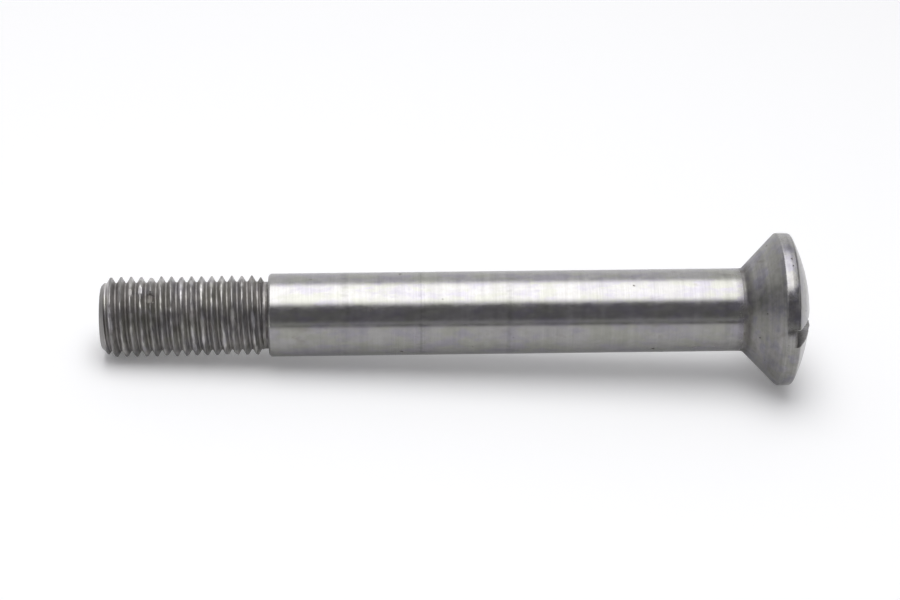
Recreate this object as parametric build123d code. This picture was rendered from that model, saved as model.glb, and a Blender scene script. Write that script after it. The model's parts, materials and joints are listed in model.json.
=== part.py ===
import math
import os

from build123d import *

# A slotted raised countersunk bolt, turned from one bar of plain steel, lying on its side.
# Sizes are in millimetres and angles in degrees. Distances along the bolt are measured from
# the flat end of the thread towards the head.

# Thread: metric fine, right-handed
thread_diameter = 10.0
thread_pitch = 1.25
thread_length = 20.8  # end face to the shoulder of the shank
end_face_diameter = 7.8
end_chamfer_angle = 45.0
relief_width = 1.1  # plain groove between the last thread and the shoulder
relief_below_root = 0.05

# Shank
shank_diameter = 10.4
shank_length = 59.2  # shoulder to the start of the countersunk cone
shoulder_chamfer = 0.25
neck_radius = 0.8

# Head
head_diameter = 19.2
countersink_angle = 92.0
rim_width = 1.6
rim_cone_edge_radius = 0.4
rim_dome_edge_chamfer = 0.2
dome_height = 2.6

# Driver slot, straight across the dome
slot_width = 2.2
slot_depth = 2.9  # from the top of the dome
slot_turn = -6.5  # turn of the slot about the bolt from level, right-handed about +X

# The basic thread profile: 60 degrees, with a flat of an eighth of the pitch on the crest
# and of a sixth in the root
flank_angle = 30.0
crest_flat = thread_pitch / 8
root_flat = thread_pitch / 6
first_crest_share = 0.64  # chamfer to the first whole crest on the underside, in pitches

# The cutters
cut_margin = 1.0  # how far a cutter reaches past what it cuts
crest_overcut = 0.04  # how far the flanks of the thread cutter run on past the crest
run_out_clearance = 0.05  # end of the thread groove to the shoulder

thread_radius = thread_diameter / 2
shank_radius = shank_diameter / 2
head_radius = head_diameter / 2
end_face_radius = end_face_diameter / 2
flank_slope = math.tan(math.radians(flank_angle))
root_radius = thread_radius - (thread_pitch - crest_flat - root_flat) / 2 / flank_slope
relief_radius = root_radius - relief_below_root

end_chamfer_length = (thread_radius - end_face_radius) / math.tan(math.radians(end_chamfer_angle))
relief_start = thread_length - relief_width
neck = thread_length + shank_length
cone_length = (head_radius - shank_radius) / math.tan(math.radians(countersink_angle / 2))
rim_start = neck + cone_length
rim_end = rim_start + rim_width
apex = rim_end + dome_height
dome_radius = (head_radius**2 + dome_height**2) / (2 * dome_height)

# The first whole crest on the underside carries the thread end on the surface
first_crest = end_chamfer_length + first_crest_share * thread_pitch
first_groove = first_crest - thread_pitch / 2
groove_half_width = (thread_pitch - crest_flat) / 2 + crest_overcut * flank_slope
groove_end = thread_length - groove_half_width - run_out_clearance
groove_turns = math.ceil((groove_end + groove_half_width) / thread_pitch)
groove_start = groove_end - groove_turns * thread_pitch


def corner(shape, x, y):
    """The vertex of a flat shape nearest to a point."""
    return shape.vertices().sort_by_distance((x, y, 0))[0]


def turned_blank():
    """The bolt as it leaves the lathe, before its thread and its slot, about the X axis."""
    with BuildPart() as blank:
        with BuildSketch() as half_section:
            with BuildLine():
                Polyline(
                    (apex, 0),
                    (0, 0),
                    (0, end_face_radius),
                    (end_chamfer_length, thread_radius),
                    (relief_start, thread_radius),
                    (relief_start, relief_radius),
                    (thread_length, relief_radius),
                    (thread_length, shank_radius),
                    (neck, shank_radius),
                    (rim_start, head_radius),
                    (rim_end, head_radius),
                )
                CenterArc(
                    (apex - dome_radius, 0),
                    dome_radius,
                    0,
                    math.degrees(math.asin(head_radius / dome_radius)),
                )
            make_face()
            chamfer(corner(half_section, thread_length, shank_radius), shoulder_chamfer)
            fillet(corner(half_section, neck, shank_radius), neck_radius)
            fillet(corner(half_section, rim_start, head_radius), rim_cone_edge_radius)
            chamfer(corner(half_section, rim_end, head_radius), rim_dome_edge_chamfer)
        revolve(axis=Axis.X)
    return blank.part


def groove_turn():
    """One turn of the groove between two crests, which starts and ends on the underside."""
    helix = Helix(thread_pitch, thread_pitch, root_radius)
    flank_top = thread_radius + crest_overcut
    cutter_top = thread_radius + cut_margin
    with BuildSketch(Plane.XZ) as profile:
        with BuildLine():
            Polyline(
                (root_radius, -root_flat / 2),
                (flank_top, -groove_half_width),
                (cutter_top, -groove_half_width),
                (cutter_top, groove_half_width),
                (flank_top, groove_half_width),
                (root_radius, root_flat / 2),
                close=True,
            )
        make_face()
    return Rot(0, 90, 0) * sweep(profile.sketch, path=helix, is_frenet=True)


def with_thread(blank):
    """The blank with its helical groove, cut one whole turn at a time."""
    turned_to = 360 * (groove_start - first_groove) / thread_pitch
    turn = Rot(turned_to, 0, 0) * groove_turn()
    for i in range(groove_turns):
        blank = blank - Pos(groove_start + i * thread_pitch, 0, 0) * turn
    return blank


def driver_slot():
    """The straight saw cut across the dome."""
    cut_depth = slot_depth + cut_margin
    cut_length = head_diameter + 2 * cut_margin
    cutter = Box(cut_depth, cut_length, slot_width)
    return Pos(apex - slot_depth + cut_depth / 2, 0, 0) * Rot(slot_turn, 0, 0) * cutter


def lying_at_rest(bolt):
    """The bolt as it lies on a surface: on the edge of its rim and its first whole crest."""
    edge_turn = math.radians(countersink_angle / 2)
    edge_centre_x = rim_start + rim_cone_edge_radius * math.tan(edge_turn / 2)
    edge_centre_radius = head_radius - rim_cone_edge_radius
    crest_x = first_crest - crest_flat / 2
    along = edge_centre_x - crest_x
    up = edge_centre_radius - thread_radius
    tilt = math.atan2(up, along) + math.asin(rim_cone_edge_radius / math.hypot(along, up))
    height = thread_radius * math.cos(tilt) - crest_x * math.sin(tilt)
    lying = Rot(0, -math.degrees(tilt), 0) * bolt
    middle = lying.bounding_box().center()
    return Pos(-middle.X, 0, height) * lying


def bolt():
    whole = with_thread(turned_blank()) - driver_slot()
    return lying_at_rest(whole.solids()[0])


os.makedirs("parts", exist_ok=True)
export_step(bolt(), "parts/bolt.step")
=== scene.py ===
import json
import math

import bmesh
import bpy
from mathutils import Matrix, Vector, noise

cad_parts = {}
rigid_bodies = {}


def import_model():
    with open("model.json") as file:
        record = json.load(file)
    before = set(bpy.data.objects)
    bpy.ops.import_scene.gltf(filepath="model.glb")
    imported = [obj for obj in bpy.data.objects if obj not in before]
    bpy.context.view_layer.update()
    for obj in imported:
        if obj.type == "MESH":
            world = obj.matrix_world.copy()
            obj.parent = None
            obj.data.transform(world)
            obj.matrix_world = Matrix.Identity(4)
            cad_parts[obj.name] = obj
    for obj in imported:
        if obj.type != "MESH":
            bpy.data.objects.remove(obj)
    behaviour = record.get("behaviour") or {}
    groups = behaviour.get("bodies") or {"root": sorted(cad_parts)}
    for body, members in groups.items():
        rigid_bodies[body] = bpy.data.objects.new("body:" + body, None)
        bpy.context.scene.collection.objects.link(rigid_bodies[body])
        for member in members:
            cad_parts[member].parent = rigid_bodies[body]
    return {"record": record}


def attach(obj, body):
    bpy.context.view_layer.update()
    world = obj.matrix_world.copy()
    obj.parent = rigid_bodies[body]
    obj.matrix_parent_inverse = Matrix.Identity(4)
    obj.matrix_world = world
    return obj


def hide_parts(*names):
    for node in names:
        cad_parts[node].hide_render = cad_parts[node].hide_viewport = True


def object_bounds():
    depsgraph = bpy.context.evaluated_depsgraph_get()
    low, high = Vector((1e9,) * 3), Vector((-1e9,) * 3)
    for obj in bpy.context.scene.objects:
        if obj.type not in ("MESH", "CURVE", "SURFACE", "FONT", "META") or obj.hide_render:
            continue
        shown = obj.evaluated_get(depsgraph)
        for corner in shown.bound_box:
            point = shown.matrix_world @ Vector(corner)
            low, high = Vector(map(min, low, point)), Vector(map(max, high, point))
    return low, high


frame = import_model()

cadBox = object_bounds()
mm = 0.001  # the sizes below are in millimetres and degrees, the scene is in metres

# The bolt's sizes, along its axis from the flat end of the thread towards the head
boltSizes = {
    "threadRadius": 5.0,
    "pitch": 1.25,
    "threadLength": 20.8,
    "crestShare": 1 / 8,
    "rootShare": 1 / 6,
    "flankAngle": 30.0,
    "crestRounding": 0.05,
    "rootRounding": 0.08,
    "firstCrest": 1.9,  # the first whole crest on the underside
    "endFaceRadius": 3.9,
    "endEdge": 0.25,
    "reliefWidth": 1.1,
    "reliefBelowRoot": 0.05,
    "reliefRamp": 0.45,  # the last thread slopes off into the groove over this length
    "reliefCorner": 0.15,
    "plainShare": 0.3,  # the share of the relief groove, by the shoulder, that has no slope
    "shoulderChamfer": 0.25,
    "shoulderEdges": (0.06, 0.08),  # the roundings at the two ends of the chamfer
    "shankLength": 59.2,
    "neckRadius": 0.5,
    "countersinkAngle": 92.0,
    "rimWidth": 1.6,
    "rimCrown": 0.04,
    "rimCrownRadius": 3.0,
    "rimConeEdge": 0.4,
    "rimDomeEdge": 0.35,
    "domeHeight": 2.43,  # the burr beside the slot stands a little higher
    "slotWidth": 2.2,
    "slotDepth": 2.73,
    "slotTurn": -6.5,  # from level, right-handed about the axis
    "slotEdge": 0.08,
    "aroundSteps": 192,
    "domeSteps": 34,
    "threadSpacing": 0.24,  # from ring to ring of the mesh, as are the next three
    "endSpacing": 0.5,
    "shankSpacing": 0.9,
    "headSpacing": 0.35,
}

# The bolt's place, read from the frame: its axis, shank and head
mounts = frame["record"]["mounts"]
shankMount = next(mount for mount in mounts if mount["name"] == "shank")
towardHead = -Vector(shankMount["axis"]).normalized()
shankRadius = shankMount["dims"]["r_mm"]
headRadius = (cadBox[1].y - cadBox[0].y) / 2 / mm
shankStart = boltSizes["threadLength"] + boltSizes["shoulderChamfer"]
shankMiddle = shankStart + shankMount["dims"]["length_mm"] / 2
endCentre = Vector(shankMount["pos_m"]) - towardHead * shankMiddle * mm
tilt = math.atan2(towardHead.z, towardHead.x)
layDown = Matrix.Translation(endCentre) @ Matrix.Rotation(-tilt, 4, "Y")

rootRadius = boltSizes["threadRadius"] - (
    boltSizes["pitch"] * (1 - boltSizes["crestShare"] - boltSizes["rootShare"]) / 2
) / math.tan(math.radians(boltSizes["flankAngle"]))
reliefRadius = rootRadius - boltSizes["reliefBelowRoot"]
reliefStart = boltSizes["threadLength"] - boltSizes["reliefWidth"]
joinAt = boltSizes["threadLength"] - boltSizes["plainShare"] * boltSizes["reliefWidth"]
neckAt = boltSizes["threadLength"] + boltSizes["shankLength"]
coneSlope = math.tan(math.radians(boltSizes["countersinkAngle"] / 2))
rimStart = neckAt + (headRadius - shankRadius) / coneSlope
rimEnd = rimStart + boltSizes["rimWidth"]
apexAt = rimEnd + boltSizes["domeHeight"]
domeRadius = (headRadius**2 + boltSizes["domeHeight"] ** 2) / (2 * boltSizes["domeHeight"])
slotFloorAt = apexAt - boltSizes["slotDepth"]
slotHalf = boltSizes["slotWidth"] / 2
slotTurn = math.radians(boltSizes["slotTurn"])
slotAlong = Vector((0, math.cos(slotTurn), math.sin(slotTurn)))
slotAcross = Vector((0, -math.sin(slotTurn), math.cos(slotTurn)))


# Node helpers, for geometry and shader trees alike
def addNode(tree, kind, inputs=None, **settings):
    node = tree.nodes.new(kind)
    for name, value in settings.items():
        setattr(node, name, value)
    for key, value in (inputs or {}).items():
        if isinstance(value, bpy.types.NodeSocket):
            tree.links.new(value, node.inputs[key])
        else:
            node.inputs[key].default_value = value
    return node


def maths(tree, operation, *values):
    node = addNode(tree, "ShaderNodeMath", dict(enumerate(values)), operation=operation)
    return node.outputs[0]


def addSocket(tree, name, kind, value=None, direction="INPUT"):
    socket = tree.interface.new_socket(name=name, in_out=direction, socket_type="NodeSocket" + kind)
    if value is not None:
        socket.default_value = value
    return socket


# Outlines: a list of (along, radius, rounding), with arcs at the rounded corners
def roundedOutline(corners, arcSteps=5):
    points = []
    for i, (along, radius, rounding) in enumerate(corners):
        here = Vector((along, radius))
        if not rounding:
            points.append(here)
            continue
        back = (Vector(corners[i - 1][:2]) - here).normalized()
        onward = (Vector(corners[i + 1][:2]) - here).normalized()
        halfAngle = back.angle(onward) / 2
        reach = rounding / math.tan(halfAngle)
        centre = here + (back + onward).normalized() * rounding / math.sin(halfAngle)
        first = here + back * reach - centre
        sweep = first.angle_signed(here + onward * reach - centre)
        for step in range(arcSteps + 1):
            points.append(centre + Matrix.Rotation(-sweep * step / arcSteps, 2) @ first)
    return points


def spacedOut(points, spacing):
    spread = [points[0]]
    for here, onward in zip(points, points[1:]):
        steps = max(1, round((onward - here).length / spacing))
        spread += [here.lerp(onward, (step + 1) / steps) for step in range(steps)]
    return spread


def outlineCurve(name, points):
    curve = bpy.data.curves.new(name, "CURVE")
    curve.dimensions = "3D"
    spline = curve.splines.new("POLY")
    spline.points.add(len(points) - 1)
    for point, place in zip(spline.points, points):
        point.co = (place.x, place.y, 0, 1)
    piece = bpy.data.objects.new(name, curve)
    bpy.context.collection.objects.link(piece)
    return piece


# The thread keeps inside the end chamfer and slopes off into the relief groove, and its
# crests are worn down here and there
threadClip = {
    "Chamfer Start": boltSizes["endEdge"],
    "Chamfer Radius": boltSizes["endFaceRadius"] + boltSizes["endEdge"],
    "Relief Start": reliefStart,
    "Relief End": joinAt,
    "Relief Radius": reliefRadius,
    "Relief Slope": (boltSizes["threadRadius"] - reliefRadius) / boltSizes["reliefRamp"],
    "Crest Radius": boltSizes["threadRadius"],
    "Crest Wear": 0.2,
    "Wear Along": 0.8,  # the patches of wear: the higher, the smaller
    "Wear Round": 1.6,
    "Edge Rounding": 0.06,
}


# Winds an outline round the bolt: a turned form with no lead, a thread with one
def makeWindingTree(cutsThread):
    tree = bpy.data.node_groups.new("windThread" if cutsThread else "turnForm", "GeometryNodeTree")
    addSocket(tree, "Geometry", "Geometry")
    steps = float(boltSizes["aroundSteps"])
    windings = {"Turns": 1.0, "Steps per Turn": steps, "Start Angle": 0.0, "Lead": 0.0}
    if cutsThread:
        windings.update(threadClip)
    for name, value in windings.items():
        addSocket(tree, name, "Float", value)
    addSocket(tree, "Material", "Material")
    addSocket(tree, "Geometry", "Geometry", direction="OUTPUT")
    given = tree.nodes.new("NodeGroupInput").outputs

    outline = addNode(tree, "GeometryNodeCaptureAttribute", {0: given["Geometry"]}, domain="POINT")
    outline.capture_items.new("VECTOR", "Outline")
    place = addNode(tree, "GeometryNodeInputPosition")
    tree.links.new(place.outputs[0], outline.inputs["Outline"])

    steps = maths(tree, "MULTIPLY_ADD", given["Turns"], given["Steps per Turn"], 1.0)
    path = addNode(tree, "GeometryNodeCurvePrimitiveLine", {"Start": (0, 0, 0), "End": (0, 0, 1)})
    path = addNode(tree, "GeometryNodeResampleCurve", {"Curve": path.outputs[0]}, mode="COUNT")
    tree.links.new(steps, path.inputs["Count"])
    along = addNode(tree, "GeometryNodeCaptureAttribute", {0: path.outputs[0]}, domain="POINT")
    along.capture_items.new("FLOAT", "Share")
    share = addNode(tree, "GeometryNodeSplineParameter")
    tree.links.new(share.outputs["Factor"], along.inputs["Share"])
    swept = {"Curve": along.outputs[0], "Profile Curve": outline.outputs[0]}
    sheet = addNode(tree, "GeometryNodeCurveToMesh", swept).outputs[0]

    turned = maths(tree, "MULTIPLY", along.outputs["Share"], given["Turns"])
    angle = maths(tree, "MULTIPLY_ADD", turned, math.tau, given["Start Angle"])
    drawn = addNode(tree, "ShaderNodeSeparateXYZ", {0: outline.outputs["Outline"]})
    axial = maths(tree, "MULTIPLY_ADD", turned, given["Lead"], drawn.outputs["X"])
    radius = drawn.outputs["Y"]
    cosine = maths(tree, "COSINE", angle)
    sine = maths(tree, "SINE", angle)
    if cutsThread:
        axial, radius = clipThread(tree, given, axial, radius, cosine, sine)
    across = maths(tree, "MULTIPLY", radius, cosine)
    up = maths(tree, "MULTIPLY", radius, sine)
    target = addNode(tree, "ShaderNodeCombineXYZ", {"X": axial, "Y": across, "Z": up}).outputs[0]
    moved = {"Geometry": sheet, "Position": target}
    placed = addNode(tree, "GeometryNodeSetPosition", moved).outputs[0]
    real = addNode(tree, "GeometryNodeRealizeInstances", {0: placed}).outputs[0]
    coated = {"Geometry": real, "Material": given["Material"]}
    painted = addNode(tree, "GeometryNodeSetMaterial", coated).outputs[0]
    result = tree.nodes.new("NodeGroupOutput")
    tree.links.new(painted, result.inputs[0])
    return tree


# Wears the crests down in patches, then clips the thread at the end face and at the relief
def clipThread(tree, given, axial, radius, cosine, sine):
    spot = {
        "X": maths(tree, "MULTIPLY", axial, given["Wear Along"]),
        "Y": maths(tree, "MULTIPLY", cosine, given["Wear Round"]),
        "Z": maths(tree, "MULTIPLY", sine, given["Wear Round"]),
    }
    spot = addNode(tree, "ShaderNodeCombineXYZ", spot).outputs[0]
    patchy = {"Vector": spot, "Scale": 1.0, "Detail": 2.0, "Roughness": 0.6}
    patches = addNode(tree, "ShaderNodeTexNoise", patchy).outputs[0]
    levels = {"Value": patches, "From Min": 0.4, "From Max": 0.68}
    worn = addNode(tree, "ShaderNodeMapRange", levels).outputs[0]
    lost = maths(tree, "MULTIPLY", worn, given["Crest Wear"])
    crest = maths(tree, "SUBTRACT", given["Crest Radius"], lost)
    rounding = given["Edge Rounding"]
    radius = maths(tree, "SMOOTH_MIN", radius, crest, maths(tree, "MULTIPLY", rounding, 0.4))

    axial = maths(tree, "MAXIMUM", axial, given["Chamfer Start"])
    axial = maths(tree, "MINIMUM", axial, given["Relief End"])
    pastEdge = maths(tree, "SUBTRACT", axial, given["Chamfer Start"])
    chamfer = maths(tree, "ADD", pastEdge, given["Chamfer Radius"])
    radius = maths(tree, "SMOOTH_MIN", radius, chamfer, rounding)
    intoRelief = maths(tree, "SUBTRACT", axial, given["Relief Start"])
    fall = maths(tree, "MULTIPLY", intoRelief, given["Relief Slope"])
    ramp = maths(tree, "SUBTRACT", given["Crest Radius"], fall)
    radius = maths(tree, "SMOOTH_MIN", radius, ramp, rounding)
    atEnds = maths(tree, "MINIMUM", chamfer, given["Relief Radius"])
    return axial, maths(tree, "MAXIMUM", radius, atEnds)


def windOutline(name, points, tree, material, **values):
    piece = outlineCurve(name, points)
    modifier = piece.modifiers.new(name, "NODES")
    modifier.node_group = tree
    settings = {"Steps per Turn": float(boltSizes["aroundSteps"]), "Material": material, **values}
    for item in tree.interface.items_tree:
        if item.in_out == "INPUT" and item.name in settings:
            modifier[item.identifier] = settings[item.name]
    graph = bpy.context.evaluated_depsgraph_get()
    mesh = bpy.data.meshes.new_from_object(piece.evaluated_get(graph))
    piece.modifiers.clear()
    bpy.data.objects.remove(piece)
    return mesh


def threadOutline():
    half = boltSizes["pitch"] / 2
    crestHalf = half * boltSizes["crestShare"]
    rootHalf = half * boltSizes["rootShare"]
    foot = (-half + rootHalf, rootRadius, boltSizes["rootRounding"])
    tip = (-crestHalf, boltSizes["threadRadius"], boltSizes["crestRounding"])
    mirrored = [(-along, radius, rounding) for along, radius, rounding in (tip, foot)]
    corners = [(-half, rootRadius, 0), foot, tip, *mirrored, (half, rootRadius, 0)]
    return spacedOut(roundedOutline(corners, arcSteps=2), boltSizes["threadSpacing"])


def makeThreadMesh(tree, material):
    pitch = boltSizes["pitch"]
    stepAngle = 360 / boltSizes["aroundSteps"]
    underside = 270.0
    # A start on the same meridians as the turned forms, so that their rings meet
    steps = round((underside - boltSizes["slotTurn"]) / stepAngle)
    startAngle = boltSizes["slotTurn"] + steps * stepAngle
    before = math.ceil(boltSizes["firstCrest"] / pitch) + 1
    start = boltSizes["firstCrest"] - pitch * (before + (underside - startAngle) / 360)
    turns = math.ceil((joinAt + pitch - start) / pitch)
    points = [Vector((point.x + start, point.y)) for point in threadOutline()]
    lay = {"Turns": float(turns), "Start Angle": math.radians(startAngle), "Lead": pitch}
    return windOutline("thread", points, tree, material, **lay, **threadClip)


def turnForm(name, corners, spacing, tree, material):
    points = spacedOut(roundedOutline(corners), spacing)
    return windOutline(name, points, tree, material, **{"Start Angle": slotTurn})


def bluntedForms():
    edge = boltSizes["endEdge"]
    chamfer = boltSizes["shoulderChamfer"]
    lowEdge, highEdge = boltSizes["shoulderEdges"]
    shoulder = boltSizes["threadLength"]
    neck = boltSizes["neckRadius"] * math.tan(math.radians(boltSizes["countersinkAngle"] / 4))
    rimFoot = headRadius - boltSizes["rimCrown"]
    end = [
        (0, 0, 0),
        (0, boltSizes["endFaceRadius"], edge),
        (edge, boltSizes["endFaceRadius"] + edge, 0),
    ]
    shank = [
        (joinAt, reliefRadius, 0),
        (shoulder, reliefRadius, boltSizes["reliefCorner"]),
        (shoulder, shankRadius - chamfer, lowEdge),
        (shoulder + chamfer, shankRadius, highEdge),
        (neckAt - 2 * neck, shankRadius, 0),
    ]
    head = [
        (neckAt - 2 * neck, shankRadius, 0),
        (neckAt, shankRadius, boltSizes["neckRadius"]),
        (rimStart, rimFoot, boltSizes["rimConeEdge"]),
        ((rimStart + rimEnd) / 2, headRadius, boltSizes["rimCrownRadius"]),
        (rimEnd, rimFoot, boltSizes["rimDomeEdge"]),
    ]
    rimTurn = math.asin(headRadius / domeRadius)
    for step in range(1, boltSizes["domeSteps"] + 1):
        turn = rimTurn * (1 - step / boltSizes["domeSteps"])
        along = apexAt - domeRadius * (1 - math.cos(turn))
        head.append((along, domeRadius * math.sin(turn), 0))
    return end, shank, head


# The driver slot is sawn straight across the dome, and its lips are rounded and bruised
slotWear = {
    "edgeRows": (1.0, 0.6, 0.3, 0.1, 0.0),  # shares of the lip's rounding
    "burrRows": (0.25, 0.5, 0.8, 1.15),  # from the lip
    "burrReach": 1.15,
    "cutBelow": 0.5,  # the rows run on this far below the slot's floor
    "edgeFade": 0.15,  # the rounding fades out over this height above the floor
    "roughLip": 0.035,
    "roughScale": 1.3,
    "roughSeed": 4.0,
    "burrs": (
        {"side": -1, "middle": -1.7, "half": 2.4, "height": 0.2},
        {"side": 1, "middle": -0.4, "half": 2.0, "height": 0.09},
        {"side": 1, "middle": 4.6, "half": 1.6, "height": 0.06},
    ),
}
nearly = 1e-3  # about the distance at which two points count as one
hair = 1e-4  # the same for a cut through a face


def slotFaces(body, half, lowest):
    found = []
    for face in body.faces:
        middle = face.calc_center_median()
        if abs(middle.dot(slotAcross)) < half and middle.x > lowest:
            found.append(face)
    return found


def withParts(faces):
    return list({part for face in faces for part in (face, *face.edges, *face.verts)})


def cutRow(body, side, offset):
    faces = slotFaces(body, headRadius, slotFloorAt - slotWear["cutBelow"])
    across = slotAcross * side
    plane = {"plane_co": across * offset, "plane_no": across}
    bmesh.ops.bisect_plane(body, geom=withParts(faces), dist=hair, **plane)


def cutSlot(body):
    offsets = [slotHalf + boltSizes["slotEdge"] * share for share in slotWear["edgeRows"]]
    offsets += [slotHalf + reach for reach in slotWear["burrRows"]]
    for offset in offsets:
        cutRow(body, 1, offset)
        cutRow(body, -1, offset)
    mouth = slotFaces(body, slotHalf, slotFloorAt - slotWear["cutBelow"])
    floorLevel = {"plane_co": (slotFloorAt, 0, 0), "plane_no": (1, 0, 0)}
    bmesh.ops.bisect_plane(body, geom=withParts(mouth), dist=hair, **floorLevel)
    lips = roundLips(body)
    raiseBurrs(body)
    wallSlot(body, lips)


# Rounds the lips along the normals of the whole dome, and takes out the faces between them
def roundLips(body):
    body.normal_update()
    lip = boltSizes["slotEdge"]
    lips = set()
    moves = {}
    for vert in body.verts:
        offset = abs(vert.co.dot(slotAcross))
        if vert.co.x < slotFloorAt - nearly or not slotHalf - nearly < offset < slotHalf + lip:
            continue
        if offset < slotHalf + nearly:
            lips.add(vert)
        share = min(1.0, max(0.0, (offset - slotHalf) / lip))
        fade = min(1.0, (vert.co.x - slotFloorAt) / slotWear["edgeFade"])
        moves[vert] = vert.normal * lip * fade * (1 - math.sqrt(1 - (1 - share) ** 2))
    bmesh.ops.delete(body, geom=slotFaces(body, slotHalf - hair, slotFloorAt), context="FACES")
    for vert, move in moves.items():
        vert.co -= move
    return lips


def raiseBurrs(body):
    for vert in body.verts:
        if vert.co.x < rimEnd:
            continue
        across = vert.co.dot(slotAcross)
        along = vert.co.dot(slotAlong)
        near = 1 - (abs(across) - slotHalf) / slotWear["burrReach"]
        if not 0 < near < 1.01:
            continue
        scale = slotWear["roughScale"]
        rough = noise.noise(Vector((along * scale, across * scale, slotWear["roughSeed"])))
        lift = slotWear["roughLip"] * near**3 * (0.5 + rough)
        for burr in slotWear["burrs"]:
            apart = (along - burr["middle"]) / burr["half"]
            if across * burr["side"] > 0 and abs(apart) < 1:
                lift += burr["height"] * near**1.5 * (1 - apart**2) ** 2 * (0.9 + 0.5 * rough)
        vert.co.x += lift


def wallSlot(body, lips):
    rims = [edge for edge in body.edges if edge.is_boundary and lips.issuperset(edge.verts)]
    walls = bmesh.ops.extrude_edge_only(body, edges=rims)
    feet = [part for part in walls["geom"] if isinstance(part, bmesh.types.BMVert)]
    for foot in feet:
        side = math.copysign(1, foot.co.dot(slotAcross))
        foot.co = slotAlong * foot.co.dot(slotAlong) + slotAcross * side * slotHalf
        foot.co.x = slotFloorAt
    corners = [vert for vert in lips if vert.is_valid and vert.co.x < slotFloorAt + nearly]
    bmesh.ops.remove_doubles(body, verts=feet + corners, dist=3 * nearly)
    openEdges = [edge for edge in body.edges if edge.is_boundary]
    bmesh.ops.holes_fill(body, edges=openEdges, sides=0)


# Knocks in the thread, placed along the bolt and by the turn about it, right-handed from +Y
threadKnocks = [
    {"along": 6.35, "angle": 121.0, "length": 0.36, "width": 0.75, "depth": 0.7},
    {"along": 3.9, "angle": 111.0, "length": 0.4, "width": 0.6, "depth": 0.22},
    {"along": 5.0, "angle": 108.0, "length": 0.3, "width": 0.7, "depth": 0.25},
    {"along": 11.6, "angle": 205.0, "length": 0.3, "width": 0.8, "depth": 0.3},
    {"along": 15.4, "angle": 330.0, "length": 0.35, "width": 0.9, "depth": 0.25},
    {"along": 8.1, "angle": 20.0, "length": 0.3, "width": 0.7, "depth": 0.3},
    {"along": 13.0, "angle": 62.0, "length": 0.32, "width": 0.6, "depth": 0.2},
]


def knockShare(knock, along, angle, radius):
    sideways = math.remainder(angle - math.radians(knock["angle"]), math.tau) * radius
    spread = ((along - knock["along"]) / knock["length"]) ** 4 + (sideways / knock["width"]) ** 4
    return max(0.0, 1 - spread) if spread < 1 else 0.0


def smoothShare(value, low, high):
    share = min(1.0, max(0.0, (value - low) / (high - low)))
    return share * share * (3 - 2 * share)


def knockThread(body):
    for vert in body.verts:
        if vert.co.x > boltSizes["threadLength"]:
            continue
        radius = math.hypot(vert.co.y, vert.co.z)
        angle = math.atan2(vert.co.z, vert.co.y)
        for knock in threadKnocks:
            share = knockShare(knock, vert.co.x, angle, radius)
            floorRadius = boltSizes["threadRadius"] - knock["depth"]
            if share > 0 and radius > floorRadius:
                target = radius + (floorRadius - radius) * min(1.0, 2 * share)
                vert.co.yz = vert.co.yz * (target / radius)


# A hollow gets grime and painted shade, and what stands out is rubbed: two masks on the mesh. The
# pairs are where a mask starts and ends, below the crest or from the edge that they name.
maskReach = {
    "threadDirtShade": (0.3, 0.8),
    "crestRub": (0.03, 0.16),
    "neckDirtShade": (0.2, 0.9),
    "shoulderRub": (0.12, 0.5),
    "rimEdgeRub": (0.05, 0.35),
    "slotLipRub": (0.05, 0.4),
    "rimBand": 0.6,
    "slotDirtShadeFade": 1.6,  # the slot's grime and painted shade lighten towards its mouth
}


def threadMasks(along, radius, angle):
    below = min(boltSizes["threadRadius"], boltSizes["endFaceRadius"] + along) - radius
    knocked = max(knockShare(one, along, angle, radius) * one["depth"] for one in threadKnocks)
    # Roots, dents and the relief groove are darkened: grime and painted shade
    hollowDirtShade = max(smoothShare(below, *maskReach["threadDirtShade"]), min(1.0, 2.2 * knocked))
    if along > reliefStart:
        hollowDirtShade = max(hollowDirtShade, 0.75)
    worn = 1 - smoothShare(below, *maskReach["crestRub"])
    return hollowDirtShade, worn * (1 - min(1.0, 3 * knocked))


def plainMasks(along, radius, across):
    # Inside the slot, grime and painted shade, darker deeper in
    if across < slotHalf + 0.01 and along > slotFloorAt - 0.01:
        return 1 - 0.5 * smoothShare(along, slotFloorAt, rimEnd + maskReach["slotDirtShadeFade"]), 0.0
    # Around the crease at the neck, grime and painted shade
    hollowDirtShade = 0.6 * (1 - smoothShare(abs(along - neckAt), *maskReach["neckDirtShade"]))
    worn = 1 - smoothShare(along - boltSizes["threadLength"], *maskReach["shoulderRub"])
    if radius > headRadius - maskReach["rimBand"]:
        fromEdge = min(abs(along - rimStart), abs(along - rimEnd))
        worn = max(worn, 1 - smoothShare(fromEdge, *maskReach["rimEdgeRub"]))
    if along > rimEnd:
        worn = max(worn, 1 - smoothShare(across - slotHalf, *maskReach["slotLipRub"]))
    return hollowDirtShade, worn


def paintMasks(body):
    hollowDirtShadeLayer = body.verts.layers.float.new("hollowDirtShade")
    wornLayer = body.verts.layers.float.new("worn")
    for vert in body.verts:
        radius = math.hypot(vert.co.y, vert.co.z)
        if vert.co.x < boltSizes["threadLength"] + 0.02:
            masks = threadMasks(vert.co.x, radius, math.atan2(vert.co.z, vert.co.y))
        else:
            masks = plainMasks(vert.co.x, radius, abs(vert.co.dot(slotAcross)))
        vert[hollowDirtShadeLayer], vert[wornLayer] = masks


def joinForms(meshes):
    body = bmesh.new()
    materials = []
    for mesh in meshes:
        start = len(body.faces)
        body.from_mesh(mesh)
        body.faces.ensure_lookup_table()
        material = mesh.materials[0]
        if material not in materials:
            materials.append(material)
        for face in body.faces[start:]:
            face.material_index = materials.index(material)
        bpy.data.meshes.remove(mesh)
    bmesh.ops.remove_doubles(body, verts=body.verts, dist=2 * nearly)
    bmesh.ops.recalc_face_normals(body, faces=body.faces)
    return body, materials


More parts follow.
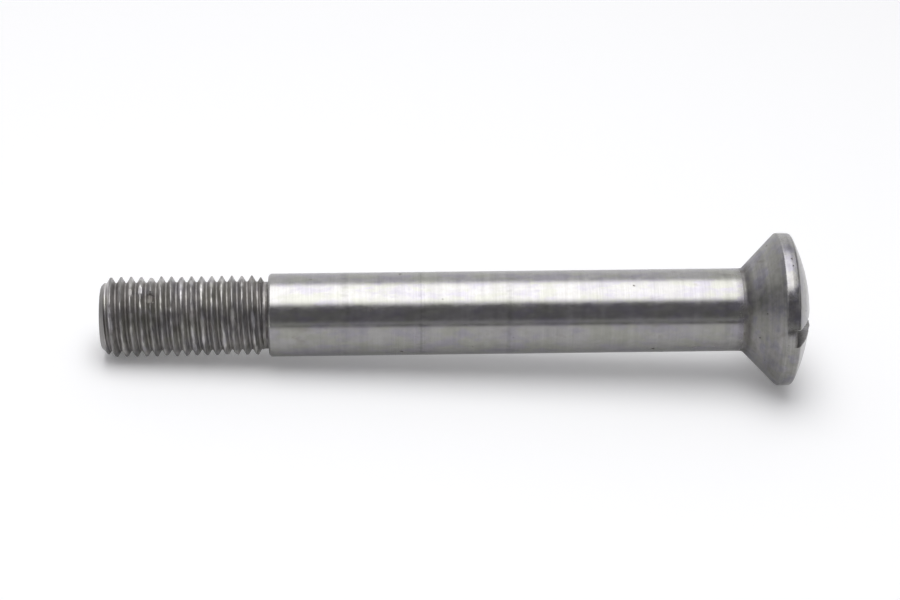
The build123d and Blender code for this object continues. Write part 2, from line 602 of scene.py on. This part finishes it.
def makeBolt(finishes):
    turnTree = makeWindingTree(cutsThread=False)
    end, shank, head = bluntedForms()
    meshes = [
        makeThreadMesh(makeWindingTree(cutsThread=True), finishes["thread"]),
        turnForm("end", end, boltSizes["endSpacing"], turnTree, finishes["thread"]),
        turnForm("shank", shank, boltSizes["shankSpacing"], turnTree, finishes["shank"]),
        turnForm("head", head, boltSizes["headSpacing"], turnTree, finishes["head"]),
    ]
    body, materials = joinForms(meshes)
    knockThread(body)
    cutSlot(body)
    bmesh.ops.dissolve_degenerate(body, edges=body.edges, dist=nearly / 2)
    bmesh.ops.recalc_face_normals(body, faces=body.faces)
    sharpFrom = math.radians(38)
    for edge in body.edges:
        edge.smooth = edge.calc_face_angle(0.0) < sharpFrom
    oddEdges = [edge for edge in body.edges if not edge.is_manifold]
    triangles = sum(len(face.verts) - 2 for face in body.faces)
    print("bolt body:", len(body.faces), "faces,", triangles, "triangles,", len(oddEdges), "odd edges")
    paintMasks(body)

    mesh = bpy.data.meshes.new("boltBody")
    body.to_mesh(mesh)
    body.free()
    for material in materials:
        mesh.materials.append(material)
    mesh.transform(Matrix.Diagonal((mm, mm, mm, 1)))
    mesh.transform(layDown)
    piece = bpy.data.objects.new("boltBody", mesh)
    bpy.context.collection.objects.link(piece)
    return piece


# Surface effects that more than one finish uses, as shader groups
def startGroup(name, inputs, outputs):
    group = bpy.data.node_groups.new(name, "ShaderNodeTree")
    for label, kind, value in inputs:
        addSocket(group, label, kind, value)
    for label, kind in outputs:
        addSocket(group, label, kind, direction="OUTPUT")
    return group, group.nodes.new("NodeGroupInput").outputs, group.nodes.new("NodeGroupOutput")


def useGroup(tree, group, inputs):
    return addNode(tree, "ShaderNodeGroup", inputs, node_tree=group).outputs


def smoothRange(tree, value, low, high, toLow=0.0, toHigh=1.0):
    ends = {"Value": value, "From Min": low, "From Max": high, "To Min": toLow, "To Max": toHigh}
    return addNode(tree, "ShaderNodeMapRange", ends, interpolation_type="SMOOTHSTEP").outputs[0]


def stretched(tree, vector, along, around):
    scale = addNode(tree, "ShaderNodeCombineXYZ", {"X": along, "Y": around, "Z": around})
    node = addNode(tree, "ShaderNodeVectorMath", {0: vector, 1: scale.outputs[0]}, operation="MULTIPLY")
    return node.outputs[0]


def mixColour(tree, share, first, second, blend="MIX"):
    inputs = {0: share}
    for key, colour in ((6, first), (7, second)):
        inputs[key] = colour if isinstance(colour, bpy.types.NodeSocket) else (*colour, 1)
    node = addNode(tree, "ShaderNodeMix", inputs, data_type="RGBA", blend_type=blend)
    return node.outputs[2]


def noiseValue(tree, vector, detail, roughness):
    inputs = {"Vector": vector, "Scale": 1.0, "Detail": detail, "Roughness": roughness}
    return addNode(tree, "ShaderNodeTexNoise", inputs).outputs[0]


# Fine rings that the tool left round the bolt
def ringMarksGroup():
    group, given, result = startGroup(
        "ringMarks",
        (("Vector", "Vector", None), ("Rings per mm", "Float", 4.0), ("Drift", "Float", 0.06)),
        (("Mark", "Float"),),
    )
    place = stretched(group, given["Vector"], given["Rings per mm"], given["Drift"])
    group.links.new(noiseValue(group, place, 2.0, 0.6), result.inputs["Mark"])
    return group


# Soft blotches of stain or handling
def blotchesGroup():
    group, given, result = startGroup(
        "blotches",
        (
            ("Vector", "Vector", None),
            ("Along per mm", "Float", 0.2),
            ("Round per mm", "Float", 0.4),
            ("Shift", "Float", 0.0),
            ("Low", "Float", 0.45),
            ("High", "Float", 0.65),
        ),
        (("Mask", "Float"),),
    )
    place = stretched(group, given["Vector"], given["Along per mm"], given["Round per mm"])
    shifted = addNode(group, "ShaderNodeVectorMath", {0: place, 1: given["Shift"]}, operation="ADD")
    cloud = noiseValue(group, shifted.outputs[0], 4.0, 0.62)
    mask = smoothRange(group, cloud, given["Low"], given["High"])
    group.links.new(mask, result.inputs["Mask"])
    return group


# Small rust pits, some cells of a grid only
def pitsGroup():
    group, given, result = startGroup(
        "pits",
        (
            ("Vector", "Vector", None),
            ("Pits per mm", "Float", 1.0),
            ("Size", "Float", 0.3),
            ("Share", "Float", 0.2),
        ),
        (("Pit", "Float"),),
    )
    place = stretched(group, given["Vector"], given["Pits per mm"], given["Pits per mm"])
    bend = addNode(group, "ShaderNodeTexNoise", {"Vector": place, "Scale": 2.4, "Detail": 1.0})
    bending = {0: bend.outputs["Color"], 1: (0.4, 0.4, 0.4), 2: place}
    bent = addNode(group, "ShaderNodeVectorMath", bending, operation="MULTIPLY_ADD").outputs[0]
    cells = addNode(group, "ShaderNodeTexVoronoi", {"Vector": bent, "Scale": 1.0})
    hue = addNode(group, "ShaderNodeSeparateColor", {0: cells.outputs["Color"]})
    size = maths(group, "MULTIPLY", given["Size"], maths(group, "ADD", hue.outputs[1], 0.35))
    inside = smoothRange(group, cells.outputs["Distance"], size, maths(group, "MULTIPLY", size, 0.4))
    chosen = maths(group, "LESS_THAN", hue.outputs[0], given["Share"])
    group.links.new(maths(group, "MULTIPLY", inside, chosen), result.inputs["Pit"])
    return group


# Lays stain, grime with painted shade, and rubbed metal over the clean steel
def steelLayersGroup():
    group, given, result = startGroup(
        "steelLayers",
        (
            ("Clean", "Color", None),
            ("Cool", "Color", None),
            ("Olive", "Color", None),
            ("Stain", "Color", None),
            ("Dirt", "Color", None),
            ("Rubbed", "Color", None),
            ("Cool Mask", "Float", 0.0),
            ("Olive Mask", "Float", 0.0),
            ("Stain Mask", "Float", 0.0),
            ("Dirt Mask", "Float", 0.0),
            ("Rubbed Mask", "Float", 0.0),
            ("Shade", "Float", 1.0),
        ),
        (("Colour", "Color"),),
    )
    colour = given["Clean"]
    for layer in ("Cool", "Olive", "Stain", "Rubbed", "Dirt"):
        colour = mixColour(group, given[layer + " Mask"], colour, given[layer])
    grey = addNode(group, "ShaderNodeCombineColor", {i: given["Shade"] for i in range(3)})
    colour = mixColour(group, 1.0, colour, grey.outputs[0], blend="MULTIPLY")
    group.links.new(colour, result.inputs["Colour"])
    return group


effects = {
    "rings": ringMarksGroup(),
    "blotches": blotchesGroup(),
    "pits": pitsGroup(),
    "layers": steelLayersGroup(),
}

# The finishes: first their colours, whose darkest one is grime and painted shade in the hollows,
# then the marks on them, which are laid out in mm
looks = {
    "thread": {
        "clean": (0.53, 0.512, 0.5),
        "cool": (0.39, 0.38, 0.395),
        "olive": (0.415, 0.408, 0.38),
        "stain": (0.19, 0.165, 0.145),
        "dirt": (0.07, 0.06, 0.055),
        "rubbed": (0.22, 0.214, 0.21),
        "roughness": 0.36,
        "roughnessSpread": 0.14,
        "facePolish": 0.0,
        "ringsPerMm": 5.0,
        "ringDepth": 0.25,
        "blotchAlong": 0.35,
        "blotchRound": 0.4,
        "stainLow": 0.52,
        "stainHigh": 0.75,
        "stainMost": 0.5,
        "dirtshadeMost": 0.55,
        "wornMost": 0.9,
        "pitsPerMm": 1.3,
        "pitSize": 0.25,
        "pitShare": 0.06,
        "shadeSpread": 0.22,
        "ringShade": 0.1,
        "bumpHeight": 0.012,
        "dirtEnd": 5.5,  # the first turns are the dirtiest
        "scuffRings": (),
    },
    "shank": {
        "clean": (0.315, 0.31, 0.305),
        "cool": (0.285, 0.275, 0.3),
        "olive": (0.3, 0.3, 0.275),
        "stain": (0.2, 0.18, 0.165),
        "dirt": (0.06, 0.05, 0.045),
        "rubbed": (0.4, 0.395, 0.39),
        "roughness": 0.2,
        "roughnessSpread": 0.1,
        "facePolish": 0.0,
        "ringsPerMm": 7.0,
        "ringDepth": 0.12,
        "blotchAlong": 0.25,
        "blotchRound": 0.5,
        "stainLow": 0.58,
        "stainHigh": 0.8,
        "stainMost": 0.5,
        "dirtshadeMost": 0.8,
        "wornMost": 0.3,
        "pitsPerMm": 0.8,
        "pitSize": 0.2,
        "pitShare": 0.05,
        "shadeSpread": 0.16,
        "ringShade": 0.06,
        "bumpHeight": 0.0035,
        "dirtEnd": 0.0,
        "scuffRings": ((30.3, 0.12), (39.7, 0.2), (50.6, 0.14), (77.6, 0.12)),
    },
    "head": {
        "clean": (0.3, 0.293, 0.288),
        "cool": (0.25, 0.243, 0.272),
        "olive": (0.28, 0.277, 0.258),
        "stain": (0.19, 0.17, 0.155),
        "dirt": (0.06, 0.052, 0.047),
        "rubbed": (0.4, 0.395, 0.39),
        "roughness": 0.36,
        "roughnessSpread": 0.14,
        "facePolish": 0.17,  # the rim and the dome are smoother than the cone
        "ringsPerMm": 3.0,
        "ringDepth": 0.2,
        "blotchAlong": 0.5,
        "blotchRound": 0.5,
        "stainLow": 0.52,
        "stainHigh": 0.78,
        "stainMost": 0.5,
        "dirtshadeMost": 0.85,
        "wornMost": 0.3,
        "pitsPerMm": 1.3,
        "pitSize": 0.22,
        "pitShare": 0.08,
        "shadeSpread": 0.3,
        "ringShade": 0.16,
        "bumpHeight": 0.012,
        "dirtEnd": 0.0,
        "scuffRings": (),
    },
}

# The blotches that every finish has: their shift in the noise, their levels and their fineness
blotchKinds = {
    "cool": {"shift": 0.0, "low": 0.42, "high": 0.6, "fineness": 1.0},
    "olive": {"shift": 5.0, "low": 0.45, "high": 0.62, "fineness": 1.0},
    "grime": {"shift": 23.0, "low": 0.3, "high": 0.62, "fineness": 1.7},
    "mottle": {"shift": 37.0, "low": 0.25, "high": 0.75, "fineness": 2.6},
    "scuff": {"shift": 51.0, "low": 0.3, "high": 0.7, "fineness": 1.5},
}


# Bolt coordinates in mm: X along the axis from the end of the thread
def boltPlace(tree):
    back = layDown.inverted()
    inputs = {
        "Vector": addNode(tree, "ShaderNodeTexCoord").outputs["Object"],
        "Location": back.translation / mm,
        "Rotation": back.to_euler(),
        "Scale": (1 / mm, 1 / mm, 1 / mm),
    }
    return addNode(tree, "ShaderNodeMapping", inputs).outputs[0]


def makeSteel(name, look):
    material = bpy.data.materials.new(name)
    material.use_nodes = True
    tree = material.node_tree
    shader = tree.nodes["Principled BSDF"]
    place = boltPlace(tree)
    along = addNode(tree, "ShaderNodeSeparateXYZ", {0: place}).outputs[0]
    hollowDirtShade = addNode(tree, "ShaderNodeAttribute", attribute_name="hollowDirtShade").outputs["Fac"]
    worn = addNode(tree, "ShaderNodeAttribute", attribute_name="worn").outputs["Fac"]

    def rings(perMm, drift):
        values = {"Vector": place, "Rings per mm": perMm, "Drift": drift}
        return useGroup(tree, effects["rings"], values)["Mark"]

    def blotches(shift, low, high, fineness=1.0):
        values = {
            "Vector": place,
            "Along per mm": look["blotchAlong"] * fineness,
            "Round per mm": look["blotchRound"] * fineness,
            "Shift": shift,
            "Low": low,
            "High": high,
        }
        return useGroup(tree, effects["blotches"], values)["Mask"]

    # What lies on the steel, and the painted shade in its hollows
    fine = rings(look["ringsPerMm"], 0.08)
    broad = rings(look["ringsPerMm"] * 0.13, 0.16)
    mottle = blotches(**blotchKinds["mottle"])
    stain = blotches(11.0, look["stainLow"], look["stainHigh"])
    pitValues = {
        "Vector": place,
        "Pits per mm": look["pitsPerMm"],
        "Size": look["pitSize"],
        "Share": look["pitShare"],
    }
    pit = useGroup(tree, effects["pits"], pitValues)["Pit"]
    # Grime and painted shade in the hollows, patchy and heaviest on the first turns, and the rust pits
    early = smoothRange(tree, along, look["dirtEnd"], look["dirtEnd"] - 3.0)
    grime = maths(tree, "MULTIPLY_ADD", blotches(**blotchKinds["grime"]), 0.45, 0.55)
    dirt = maths(tree, "MULTIPLY", hollowDirtShade, maths(tree, "ADD", grime, early))
    dirt = maths(tree, "MULTIPLY", maths(tree, "MINIMUM", dirt, 1.0), look["dirtshadeMost"])
    dirt = maths(tree, "MAXIMUM", dirt, maths(tree, "MULTIPLY", pit, 0.75))

    # Its shade, from the tool marks, the mottling and the scuffs round the shank
    spread = look["shadeSpread"]
    shade = maths(tree, "MULTIPLY_ADD", maths(tree, "SUBTRACT", broad, 0.5), spread * 2, 1.0)
    mottling = smoothRange(tree, mottle, 0.0, 1.0, 1 - spread * 0.6, 1.0)
    shade = maths(tree, "MULTIPLY", shade, mottling)
    streaks = smoothRange(tree, fine, 0.3, 0.7, 1 - look["ringShade"], 1.0)
    shade = maths(tree, "MULTIPLY", shade, streaks)
    if look["scuffRings"]:
        faint = blotches(**blotchKinds["scuff"])
    for at, depth in look["scuffRings"]:
        apart = maths(tree, "ABSOLUTE", maths(tree, "SUBTRACT", along, at))
        apart = maths(tree, "MULTIPLY_ADD", mottle, 0.5, maths(tree, "MULTIPLY_ADD", fine, 0.5, apart))
        least = maths(tree, "MULTIPLY_ADD", faint, -depth, 1 - 0.4 * depth)
        shade = maths(tree, "MULTIPLY", shade, smoothRange(tree, apart, 0.3, 1.1, least, 1.0))

    colours = {
        "Cool Mask": blotches(**blotchKinds["cool"]),
        "Olive Mask": blotches(**blotchKinds["olive"]),
        "Stain Mask": maths(tree, "MULTIPLY", stain, look["stainMost"]),
        "Rubbed Mask": maths(tree, "MULTIPLY", worn, look["wornMost"]),
        "Dirt Mask": dirt,
        "Shade": shade,
    }
    for layer in ("Clean", "Cool", "Olive", "Stain", "Dirt", "Rubbed"):
        colours[layer] = (*look[layer.lower()], 1)
    colour = useGroup(tree, effects["layers"], colours)["Colour"]
    tree.links.new(colour, shader.inputs["Base Color"])

    spread = look["roughnessSpread"]
    rough = maths(tree, "MULTIPLY_ADD", mottle, spread, look["roughness"] - spread / 2)
    rough = maths(tree, "MULTIPLY_ADD", stain, spread, rough)
    rough = maths(tree, "MULTIPLY_ADD", dirt, 0.25, rough)
    face = smoothRange(tree, along, rimStart - 0.1, rimStart + 0.3, 0.0, look["facePolish"])
    rough = maths(tree, "SUBTRACT", rough, face)
    tree.links.new(rough, shader.inputs["Roughness"])
    tree.links.new(maths(tree, "MULTIPLY_ADD", dirt, -0.5, 1.0), shader.inputs["Metallic"])

    height = maths(tree, "MULTIPLY", fine, look["ringDepth"])
    height = maths(tree, "MULTIPLY_ADD", mottle, 0.3, height)
    height = maths(tree, "MULTIPLY_ADD", pit, -1.6, height)
    bumps = {"Height": height, "Strength": 1.0, "Distance": look["bumpHeight"] * mm}
    bump = addNode(tree, "ShaderNodeBump", bumps)
    tree.links.new(bump.outputs[0], shader.inputs["Normal"])
    return material


finishes = {name: makeSteel(name + "Steel", look) for name, look in looks.items()}
print("finishes made")
bolt = makeBolt(finishes)
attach(bolt, "root")
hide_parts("bolt")
print("bolt made")


# A sheet of paper, which the camera and the metal see brighter by its glow
def makePaper(name, low, high, colour, glow):
    mesh = bpy.data.meshes.new(name)
    corners = [(low[0], low[1], 0), (high[0], low[1], 0), (high[0], high[1], 0), (low[0], high[1], 0)]
    mesh.from_pydata(corners, [], [(0, 1, 2, 3)])
    sheet = bpy.data.objects.new(name, mesh)
    bpy.context.collection.objects.link(sheet)
    paper = bpy.data.materials.new(name + "Paper")
    paper.use_nodes = True
    tree = paper.node_tree
    shader = tree.nodes["Principled BSDF"]
    shader.inputs["Base Color"].default_value = (*colour, 1)
    shader.inputs["Roughness"].default_value = 1.0
    shader.inputs["Specular IOR Level"].default_value = 0.0
    shader.inputs["Emission Color"].default_value = (1, 1, 1, 1)
    light = addNode(tree, "ShaderNodeLightPath").outputs
    seen = maths(tree, "MAXIMUM", light["Is Camera Ray"], light["Is Glossy Ray"])
    seen = maths(tree, "MAXIMUM", seen, light["Is Transmission Ray"])
    tree.links.new(maths(tree, "MULTIPLY", seen, glow), shader.inputs["Emission Strength"])
    mesh.materials.append(paper)
    return sheet


floorPaper = {
    "size": 8.0,
    "colour": (0.94, 0.94, 0.95),
    "glow": 0.15,
}


def makeFloor():
    half = floorPaper["size"] / 2
    makePaper("floor", (-half, -half), (half, half), floorPaper["colour"], floorPaper["glow"])


# A grey card in front of the picture, which only the metal shows: it puts a dark strip into the
# floor's reflection on the metal, a painted reflection
greyCard = {
    "colour": (0.27, 0.265, 0.27),
    "halfLength": 0.4,
    "near": -0.36,
    "far": -0.062,
    "height": 0.0005,
}


def makeCard():
    low = (-greyCard["halfLength"], greyCard["near"])
    high = (greyCard["halfLength"], greyCard["far"])
    card = makePaper("card", low, high, greyCard["colour"], 0.0)
    card.location.z = greyCard["height"]
    card.visible_camera = False
    card.visible_diffuse = False
    card.visible_shadow = False


# The light of the room by direction: dark in front, where the camera stands, and pale behind.
# Each reach is the stretch of X, Y or Z over which one light turns into the next.
room = {
    "front": (0.245, 0.24, 0.26),
    "frontHorizon": (0.52, 0.52, 0.54),
    "horizonReach": (0.17, 0.09),
    "rear": (1.08, 1.08, 1.1),
    "rearReach": (-0.5, 0.7),
    "highFrontSides": (0.7, 0.7, 0.71),
    "highRearSides": (0.5, 0.5, 0.51),
    "highReach": (-0.1, 0.4),
    "lowFrontSides": (0.24, 0.24, 0.255),
    "lowRearSides": (1.1, 1.1, 1.11),
    "lowReach": (0.0, 0.5),
    "heightReach": (0.3, 0.62),
    "sideReach": (0.28, 0.55),
    "shareOnFloor": 0.55,  # how much of this light falls on the floor
}


def makeRoom():
    world = bpy.data.worlds.new("room")
    world.use_nodes = True
    tree = world.node_tree
    toward = addNode(tree, "ShaderNodeTexCoord").outputs["Generated"]
    parts = addNode(tree, "ShaderNodeSeparateXYZ", {0: toward}).outputs

    def blend(part, reach, first, second):
        return mixColour(tree, smoothRange(tree, part, *room[reach]), first, second)

    front = blend(parts["Z"], "horizonReach", room["front"], room["frontHorizon"])
    middle = blend(parts["Y"], "rearReach", front, room["rear"])
    high = blend(parts["Y"], "highReach", room["highFrontSides"], room["highRearSides"])
    low = blend(parts["Y"], "lowReach", room["lowFrontSides"], room["lowRearSides"])
    sides = blend(parts["Z"], "heightReach", low, high)
    colour = blend(maths(tree, "ABSOLUTE", parts["X"]), "sideReach", middle, sides)
    background = tree.nodes["Background"].inputs
    tree.links.new(colour, background["Color"])
    onFloor = addNode(tree, "ShaderNodeLightPath").outputs["Is Diffuse Ray"]
    share = maths(tree, "MULTIPLY_ADD", onFloor, room["shareOnFloor"] - 1, 1)
    tree.links.new(share, background["Strength"])
    bpy.context.scene.world = world


# A large lamp overhead. The pairs are for its length, along the bolt, and for its width.
softbox = {
    "centre": (-0.02, -0.01, 0.5),
    "length": 0.5,
    "width": 0.82,
    "radiance": 2.92,
    "fades": (0.3, 0.28),  # shares over which it fades towards its edges
    "leans": (0.15, 0.6),  # how much brighter its left and front edges are than their opposites
}


def makeLamp():
    lamp = bpy.data.lights.new("softbox", "AREA")
    lamp.shape = "RECTANGLE"
    lamp.size = softbox["length"]
    lamp.size_y = softbox["width"]
    lamp.energy = softbox["radiance"] * math.pi * lamp.size * lamp.size_y
    lamp.use_nodes = True
    tree = lamp.node_tree
    across = addNode(tree, "ShaderNodeNewGeometry").outputs["Parametric"]
    parts = addNode(tree, "ShaderNodeSeparateXYZ", {0: across}).outputs
    strength = 1.0
    for axis, fade, lean in zip("XY", softbox["fades"], softbox["leans"]):
        fromMiddle = maths(tree, "ABSOLUTE", maths(tree, "SUBTRACT", parts[axis], 0.5))
        faded = smoothRange(tree, fromMiddle, 0.5, 0.5 - fade)
        leaning = maths(tree, "MULTIPLY_ADD", parts[axis], -lean, 1 + lean / 2)
        strength = maths(tree, "MULTIPLY", strength, maths(tree, "MULTIPLY", faded, leaning))
    tree.links.new(strength, tree.nodes["Emission"].inputs["Strength"])
    box = bpy.data.objects.new("softbox", lamp)
    box.location = softbox["centre"]
    bpy.context.collection.objects.link(box)


# The camera stands where the photograph was taken from
cameraPlace = {
    "lens": 96.15,
    "sensorWidth": 36,
    "distance": 0.3,
    "elevation": 29.0,
    "azimuth": -3.69,
    "roll": 3.91,
    "aim": (-0.00086, 0.0, 0.00916),
}


def placeCamera():
    elevation = math.radians(cameraPlace["elevation"])
    aim = Vector(cameraPlace["aim"])
    swing = Matrix.Rotation(math.radians(cameraPlace["azimuth"]), 4, "Z")
    away = swing @ Vector((0, -math.cos(elevation), math.sin(elevation)))
    camera = bpy.data.objects.new("camera", bpy.data.cameras.new("camera"))
    camera.data.lens = cameraPlace["lens"]
    camera.data.sensor_width = cameraPlace["sensorWidth"]
    camera.data.clip_start = 0.01
    turn = Matrix.Rotation(math.radians(90) - elevation, 4, "X")
    roll = Matrix.Rotation(math.radians(cameraPlace["roll"]), 4, "Z")
    place = Matrix.Translation(aim + away * cameraPlace["distance"])
    camera.matrix_world = place @ swing @ turn @ roll
    bpy.context.collection.objects.link(camera)
    bpy.context.scene.camera = camera


makeFloor()
makeCard()
makeRoom()
makeLamp()
placeCamera()
bpy.context.scene.view_settings.view_transform = "Standard"
print("studio made")
